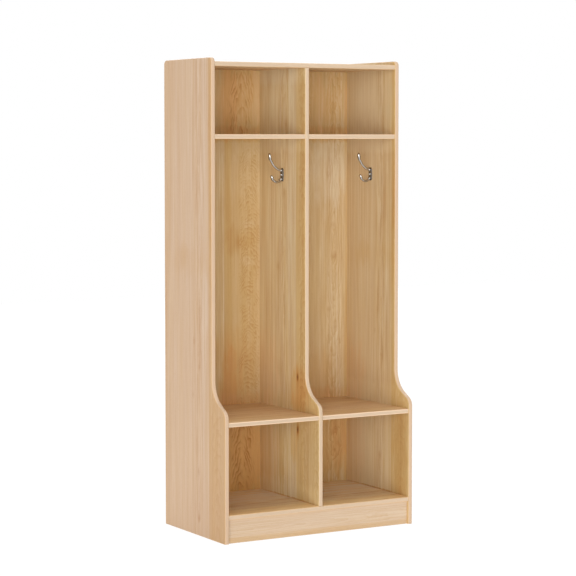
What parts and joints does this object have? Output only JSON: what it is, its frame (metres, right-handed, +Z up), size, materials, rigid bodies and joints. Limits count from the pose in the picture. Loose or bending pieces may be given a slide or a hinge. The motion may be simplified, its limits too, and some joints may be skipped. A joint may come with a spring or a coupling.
{
  "type": "mudroom locker unit",
  "caption": "Free-standing open wooden coat locker: side-by-side bays, each with a top cubby, a coat space with a double hook, a seat and a shoe cubby; curved-front side panels.",
  "frame": {"origin": "on the floor, under the middle of the unit's width and depth", "axes": "+Z up, the open front faces -Y, +Y is towards the wall, +X is to the right of someone facing the open front"},
  "size_m": [0.562, 0.331, 1.219],
  "materials": {
    "panel_wood": "clear satin lacquer, grain upright, staves edge-glued",
    "shelf_wood": "clear satin lacquer, grain along the board",
    "kick_wood": "clear satin lacquer, grain along the board",
    "rail_wood": "sanded, thin lacquer",
    "back_wood": "clear satin lacquer, grain upright",
    "dowel_wood": "plain turned beech",
    "hook_chrome": "polished chrome plate",
    "screw_steel": "zinc plated"
  },
  "bodies": {
    "root": {"left_side": "panel_wood", "right_side": "panel_wood", "divider": "panel_wood", "top_board": "shelf_wood", "upper_shelf": "shelf_wood", "seat": "shelf_wood", "bottom_shelf": "shelf_wood", "kick_board": "kick_wood", "rear_base_rail": "rail_wood", "wall_rail": "rail_wood", "base_stretcher": "rail_wood", "back_panel": "back_wood", "top_board_dowels": "dowel_wood", "upper_shelf_dowels": "dowel_wood", "seat_dowels": "dowel_wood", "bottom_shelf_dowels": "dowel_wood", "kick_board_dowels": "dowel_wood", "rear_base_rail_dowels": "dowel_wood", "wall_rail_dowels": "dowel_wood", "base_stretcher_dowels": "dowel_wood", "divider_dowels": "dowel_wood", "back_panel_screws": "screw_steel", "left_hook": "hook_chrome", "left_hook_screw": "hook_chrome", "right_hook": "hook_chrome", "right_hook_screw": "hook_chrome"}
  },
  "joints": []
}
